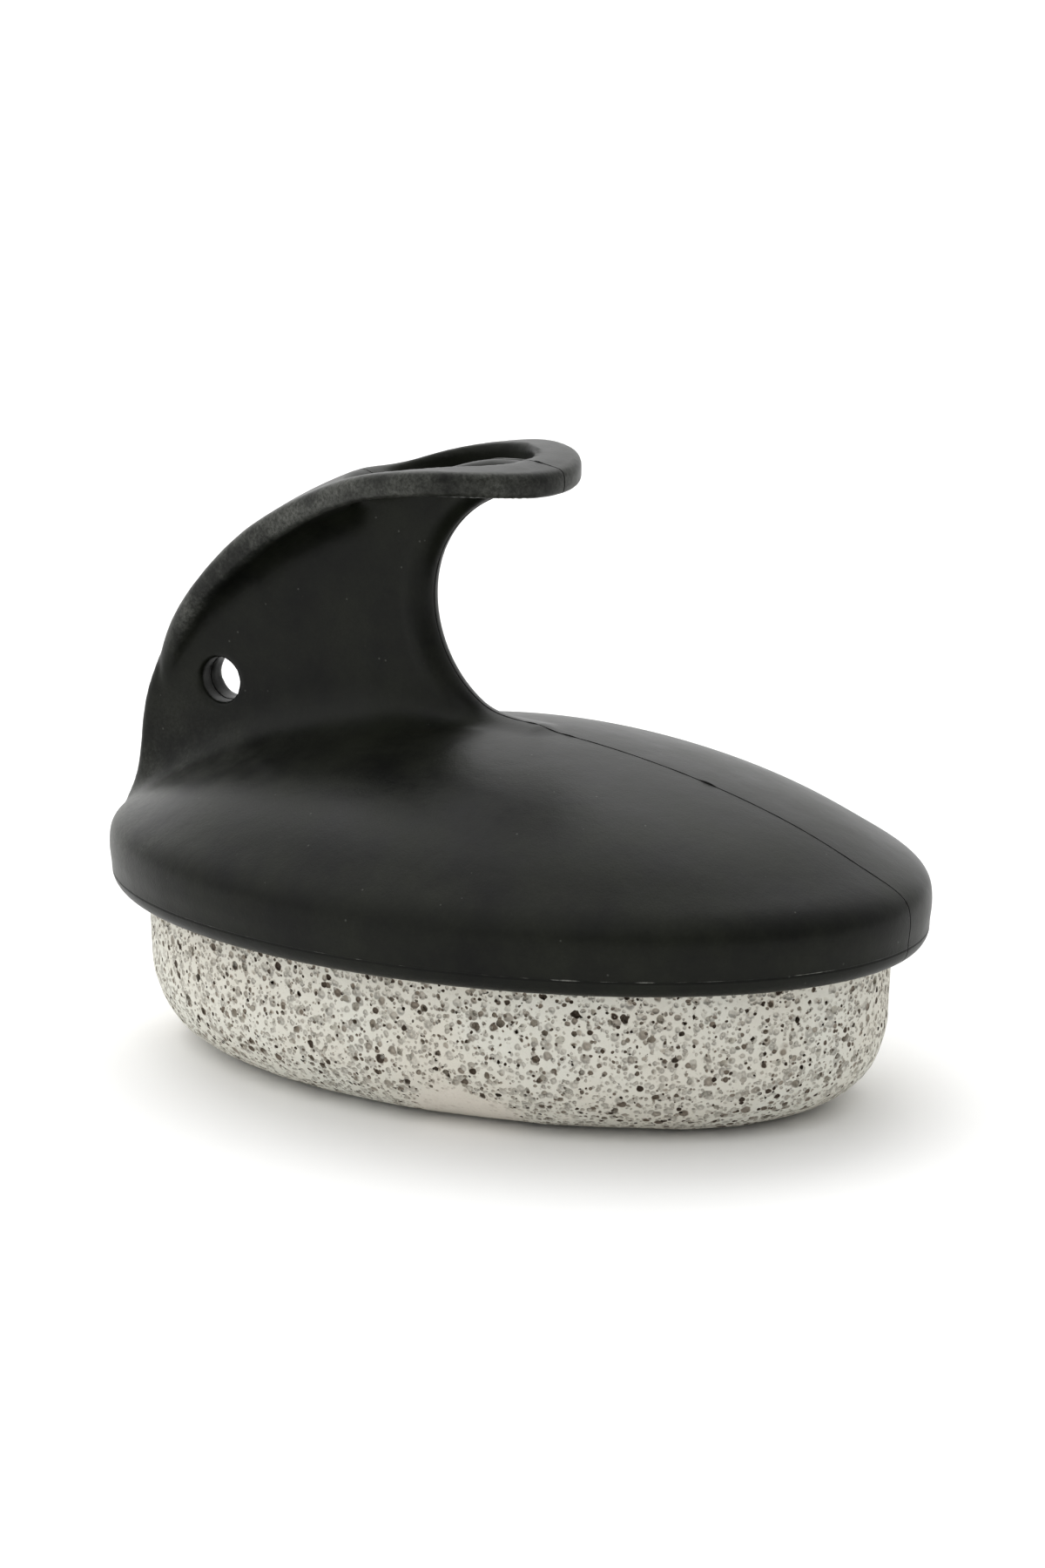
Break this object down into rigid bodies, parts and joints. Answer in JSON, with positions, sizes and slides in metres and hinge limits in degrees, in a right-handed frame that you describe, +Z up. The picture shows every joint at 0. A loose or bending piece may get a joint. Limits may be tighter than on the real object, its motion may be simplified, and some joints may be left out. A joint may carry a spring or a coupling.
{
  "type": "pumice stone with rubber grip",
  "caption": "Oval foot-care pumice stone capped by a moulded black rubber grip with an upright web, a finger ring and a small hanging hole.",
  "frame": {"origin": "middle of the stone's oval plan, on its flat underside", "axes": "+Z up out of the stone through the grip; +X along the length, towards the open front of the grip; the part is the same on both sides of Y = 0"},
  "size_m": [0.11, 0.075, 0.0767],
  "materials": {
    "pumice": "porous, dull, light grey-beige",
    "rubber": "matte black with a faint dusty bloom"
  },
  "bodies": {
    "root": {"pumice_stone": "pumice", "rubber_handle": "rubber"}
  },
  "joints": []
}
